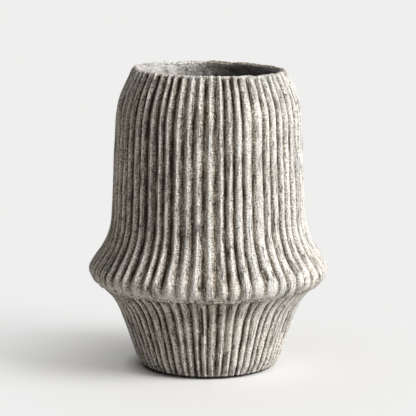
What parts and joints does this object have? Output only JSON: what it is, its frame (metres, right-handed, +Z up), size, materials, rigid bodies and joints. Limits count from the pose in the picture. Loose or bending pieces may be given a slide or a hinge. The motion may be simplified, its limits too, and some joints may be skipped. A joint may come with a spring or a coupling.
{
  "type": "urn vase",
  "caption": "Fluted stoneware urn vase: ribbed bell-shaped body over a flared ribbed bowl, with a smooth lip and a flat foot on felt pads.",
  "frame": {"origin": "middle of the circle on the table that the felt pads stand on, on the vase's axis", "axes": "+Z up along the vase's axis, +X to the right and -Y towards the camera in the picture"},
  "size_m": [0.2418, 0.2422, 0.305],
  "materials": {
    "stoneware": "matte, gritty, pale wash over dark carved grooves",
    "inner_glaze": "satin clear-grey glaze",
    "felt": "dense black felt"
  },
  "bodies": {
    "root": {"base_slab": "stoneware", "lower_wall": "stoneware", "seam_coil": "stoneware", "upper_wall": "stoneware", "lip_coil": "stoneware", "glaze_coat": "inner_glaze", "felt_pad_1": "felt", "felt_pad_2": "felt", "felt_pad_3": "felt", "felt_pad_4": "felt"}
  },
  "joints": []
}
